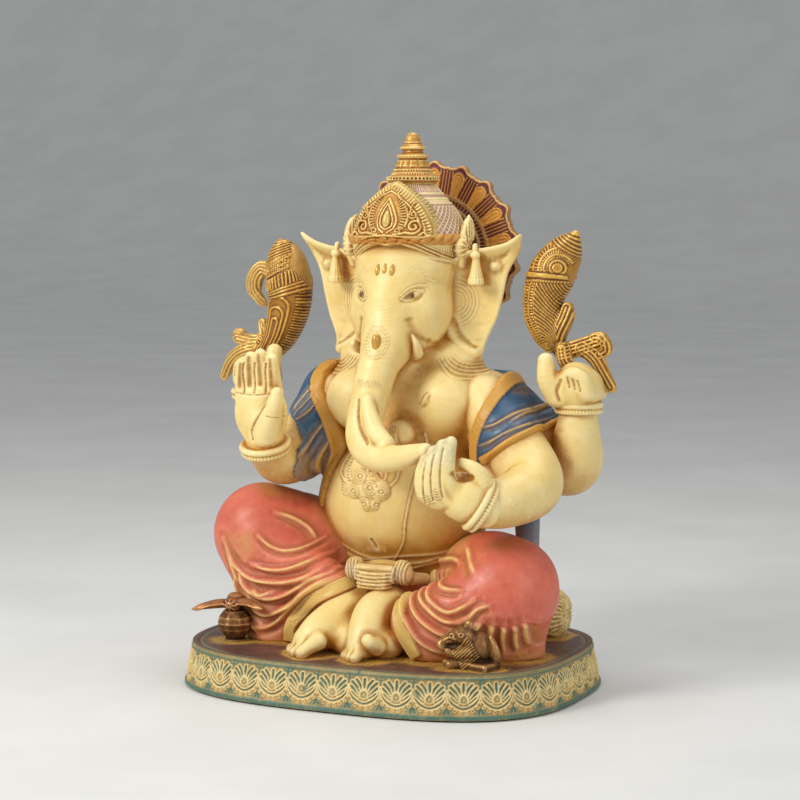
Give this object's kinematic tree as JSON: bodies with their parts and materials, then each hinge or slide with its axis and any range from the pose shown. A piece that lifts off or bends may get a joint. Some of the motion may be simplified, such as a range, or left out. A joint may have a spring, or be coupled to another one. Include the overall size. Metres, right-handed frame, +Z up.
{
  "type": "ganesha idol",
  "caption": "Painted seated Ganesha idol with raised and cupped hands, curled trunk, tall crown with a round fan behind, and an oval plinth with scalloped relief.",
  "frame": {"origin": "middle of the plinth's underside", "axes": "+Z up, +X towards the idol's left hand, -Y the way the idol faces"},
  "size_m": [0.5655, 0.4112, 0.719],
  "materials": {
    "skin_cream": "satin cream enamel, ochre wash rubbed into the hollows",
    "trim_cream": "satin cream and ochre enamel over stippled relief",
    "dhoti_pink": "satin coral enamel rubbed to ochre on the folds",
    "shawl_blue": "satin blue enamel with gold fold lines",
    "gold": "antique gold with brown in the hollows",
    "maroon": "satin maroon enamel with gold relief",
    "mauve": "satin mauve enamel with a cream lattice",
    "teal": "satin teal enamel relief on a cream and gold ground",
    "plum_brown": "satin plum brown enamel, ochre near the feet",
    "bronze": "dark bronze with gold high spots",
    "felt": "thin glued felt"
  },
  "bodies": {
    "root": {"base_felt": "felt", "belly_pendant": "skin_cream", "bolster": "trim_cream", "conch_left": "gold", "conch_right": "gold", "crown_band": "trim_cream", "crown_dome": "mauve", "crown_fan": "maroon", "crown_finial": "gold", "crown_front": "gold", "crown_rosette_left": "gold", "crown_rosette_right": "gold", "ear_left": "skin_cream", "ear_right": "skin_cream", "ear_tassel_left": "skin_cream", "ear_tassel_right": "skin_cream", "foot_left": "skin_cream", "foot_right": "skin_cream", "front_hand_left": "skin_cream", "front_hand_right": "skin_cream", "front_left_bracelet": "skin_cream", "front_left_forearm": "skin_cream", "front_left_upper_arm": "skin_cream", "front_right_bracelet": "skin_cream", "front_right_forearm": "skin_cream", "front_right_upper_arm": "skin_cream", "head": "skin_cream", "hem_left": "trim_cream", "hem_right": "trim_cream", "hips": "dhoti_pink", "leg_left": "dhoti_pink", "leg_right": "dhoti_pink", "mouse": "bronze", "offering_pot": "bronze", "plinth_band": "teal", "plinth_top": "plum_brown", "pot_leaves": "bronze", "rear_hand_left": "skin_cream", "rear_hand_right": "skin_cream", "rear_left_bracelet": "skin_cream", "rear_left_forearm": "skin_cream", "rear_left_upper_arm": "skin_cream", "rear_right_bracelet": "skin_cream", "rear_right_forearm": "skin_cream", "rear_right_upper_arm": "skin_cream", "shawl_back": "shawl_blue", "shawl_left": "shawl_blue", "shawl_right": "shawl_blue", "tilak": "gold", "torso": "skin_cream", "trunk_jewel": "gold", "trunk_tip": "skin_cream", "trunk_upper": "skin_cream", "tusk_left": "skin_cream", "tusk_right": "skin_cream", "waist_sash": "trim_cream"}
  },
  "joints": []
}
